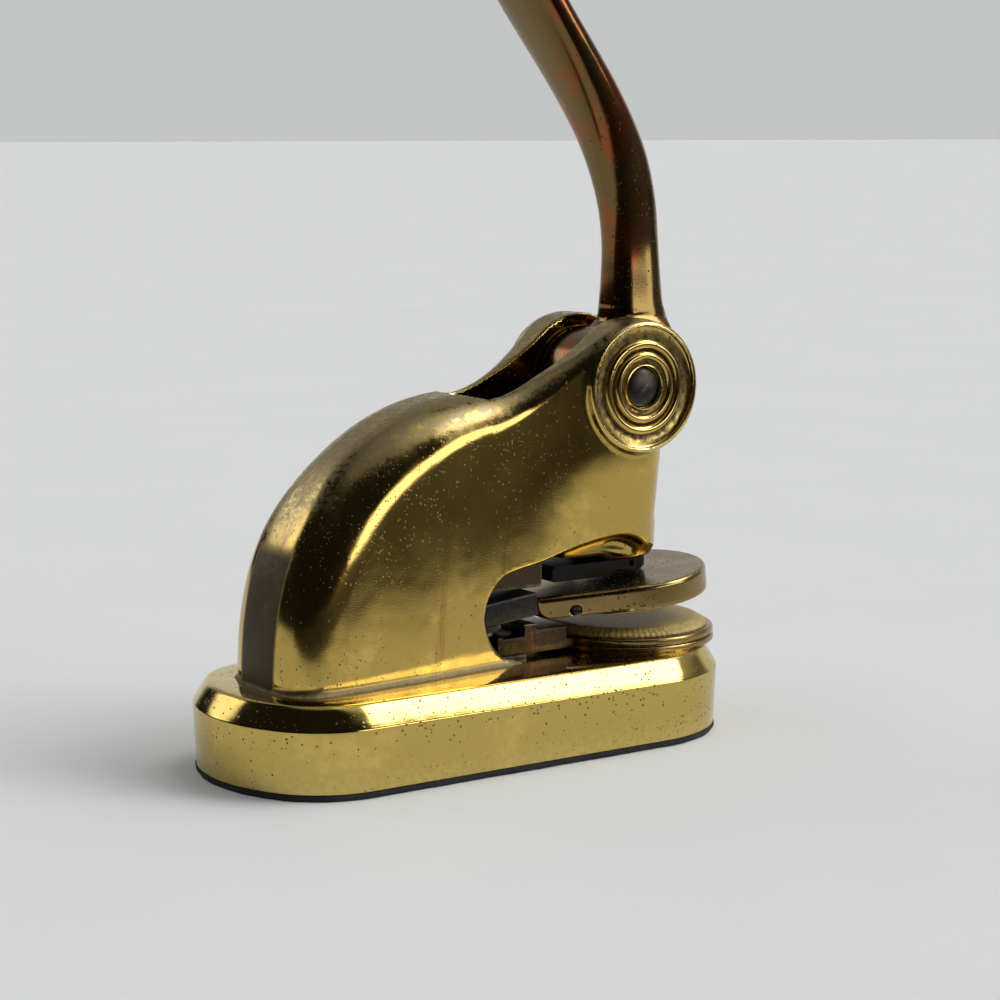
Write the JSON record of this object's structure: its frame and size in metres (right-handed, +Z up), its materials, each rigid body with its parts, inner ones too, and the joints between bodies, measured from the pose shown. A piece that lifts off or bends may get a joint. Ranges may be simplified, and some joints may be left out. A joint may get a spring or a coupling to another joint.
{
  "type": "seal embosser",
  "caption": "Desk embosser for paper seals: an arched brass body on an oblong base, an upright lever with a cam, a guided ram and a sprung pair of round dies.",
  "frame": {"origin": "about half way along the base, on its middle plane, on the underside of the felt", "axes": "+X towards the dies at the front, +Y to the left side seen from the handle's back, +Z up"},
  "size_m": [0.1475, 0.0644, 0.2049],
  "materials": {
    "brass_casting": "aged polished plating, pitted and tarnished",
    "brass_lever": "aged polished plating with red-brown streaks",
    "brass_trim": "turned and polished, tarnished grooves",
    "brass_holder": "dulled turned brass",
    "dark_steel": "dark worn steel",
    "spring_steel": "blued spring steel",
    "zinc_plate": "dull zinc",
    "felt": "pressed black felt",
    "counter_tan": "pressed tan board with fine ribs"
  },
  "bodies": {
    "frame": {"frame_casting": "brass_casting", "base_plate": "zinc_plate", "base_screws": "zinc_plate", "felt_pad": "felt", "pivot_pin": "dark_steel", "ear_bush_right": "brass_trim", "ear_bush_left": "brass_trim", "boss_cap_right": "brass_trim", "boss_cap_left": "brass_trim", "thrust_washer_right": "dark_steel", "thrust_washer_left": "dark_steel", "ram_guide_bush": "brass_trim", "strap_spring": "spring_steel", "lower_holder": "brass_holder", "counter": "counter_tan", "lower_rivets": "dark_steel", "lower_holder_screw": "zinc_plate"},
    "lever": {"lever": "brass_lever", "lever_bush": "brass_trim"},
    "ram": {"ram": "dark_steel", "ram_button": "dark_steel", "ram_spring": "spring_steel", "ram_foot": "dark_steel", "foot_pin": "dark_steel"},
    "upper_insert": {"upper_holder": "brass_holder", "upper_tail": "dark_steel", "upper_die": "brass_trim", "die_screw": "dark_steel", "upper_rivets": "dark_steel"}
  },
  "joints": [
    {"name": "lever_swing", "type": "hinge", "parent": "frame", "child": "lever", "pos_m": [0.0432, 0, 0.0912], "axis": [0, 1, 0], "range_deg": [0, 60]},
    {"name": "ram_slide", "type": "slide", "parent": "frame", "child": "ram", "axis": [0, 0, 1], "range_m": [-0.0044, 0], "stiffness_N_per_m": 400, "springref_m": 0.003, "deforming": ["ram_spring"]},
    {"name": "insert_flex", "type": "hinge", "parent": "frame", "child": "upper_insert", "pos_m": [0.006, 0, 0.032], "axis": [0, 1, 0], "range_deg": [0, 6.1]}
  ],
  "couplings": [
    {"joint": "ram_slide", "follows": "lever_swing", "m_per_rad": -0.0042},
    {"joint": "insert_flex", "follows": "lever_swing", "ratio": 0.10107}
  ]
}
